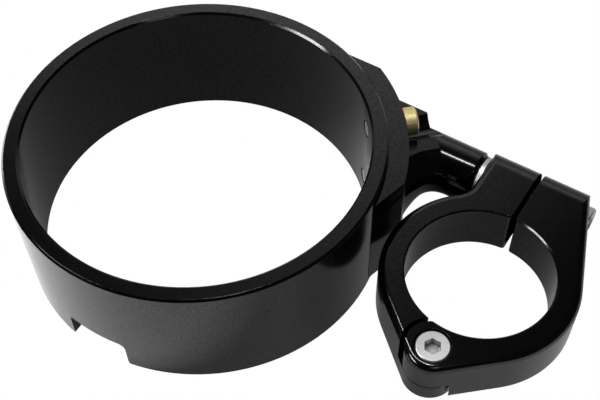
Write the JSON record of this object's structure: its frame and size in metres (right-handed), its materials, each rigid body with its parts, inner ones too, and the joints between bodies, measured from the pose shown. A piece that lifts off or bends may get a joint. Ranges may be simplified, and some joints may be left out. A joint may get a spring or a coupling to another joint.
{
  "type": "speedometer mount",
  "caption": "Round gauge ring on an arm with a hinged screw clamp, which holds a speedometer beside a motorbike's fork tube.",
  "frame": {"origin": "middle of the fork clamp's bore, at half its height", "axes": "+Z along the fork tube, towards the hinge screw's head; +X along the clamp screw, towards its head; +Y from the bore towards the clamp's ears"},
  "size_m": [0.1603, 0.1039, 0.0374],
  "materials": {
    "black_aluminium": "black satin anodised",
    "bright_steel": "bright",
    "yellow_steel": "yellow zinc plated"
  },
  "bodies": {
    "clamp": {"clamp_half": "black_aluminium", "hinge_screw": "bright_steel"},
    "gate": {"clamp_gate": "black_aluminium"},
    "arm": {"mount_arm": "black_aluminium", "gauge_ring": "black_aluminium", "ring_screw_upper": "yellow_steel", "ring_screw_lower": "yellow_steel", "clamp_screw": "bright_steel", "spacer_washer": "bright_steel"}
  },
  "joints": [
    {"name": "gate_swing", "type": "hinge", "parent": "clamp", "child": "gate", "pos_m": [0, -0.0256, 0], "axis": [0, 0, 1], "range_deg": [0, 0.9]},
    {"name": "arm_tilt", "type": "hinge", "parent": "clamp", "child": "arm", "pos_m": [0, 0.0333, 0], "axis": [1, 0, 0], "continuous": true}
  ]
}
